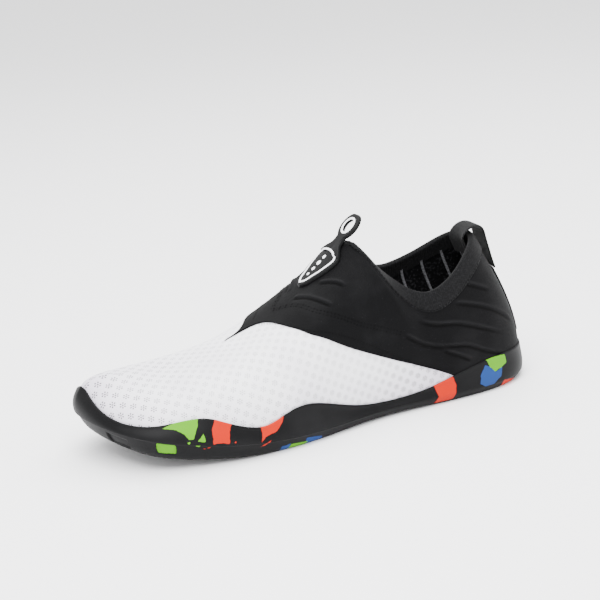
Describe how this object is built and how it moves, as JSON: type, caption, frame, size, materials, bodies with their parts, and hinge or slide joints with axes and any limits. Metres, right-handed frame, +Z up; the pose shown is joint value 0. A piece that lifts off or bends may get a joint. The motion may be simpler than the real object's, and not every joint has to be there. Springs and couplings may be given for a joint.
{
  "type": "water shoe",
  "caption": "Low slip-on water shoe with a black wrap-up rubber sole, white mesh toe, black stretch quarters, tongue badge with a pull ring and a webbing loop at the heel.",
  "frame": {"origin": "on the floor under the middle of the heel, at the flat land of the sole", "axes": "+X towards the toe, +Y towards the outer (left) side of the shoe, +Z up"},
  "size_m": [0.2724, 0.0968, 0.112],
  "materials": {
    "black_rubber": "satin moulded rubber, with lime, orange and blue splashes moulded in",
    "foam": "matt fabric-faced foam",
    "stretch_fabric": "matt black stretch fabric, with a white pored mesh on the toe",
    "badge_rubber": "satin moulded rubber with white lines",
    "webbing": "ribbed matt webbing"
  },
  "bodies": {
    "root": {"outsole": "black_rubber", "insole": "foam", "upper": "stretch_fabric", "badge": "badge_rubber", "pull_loop": "webbing", "heel_tape": "webbing"}
  },
  "joints": []
}
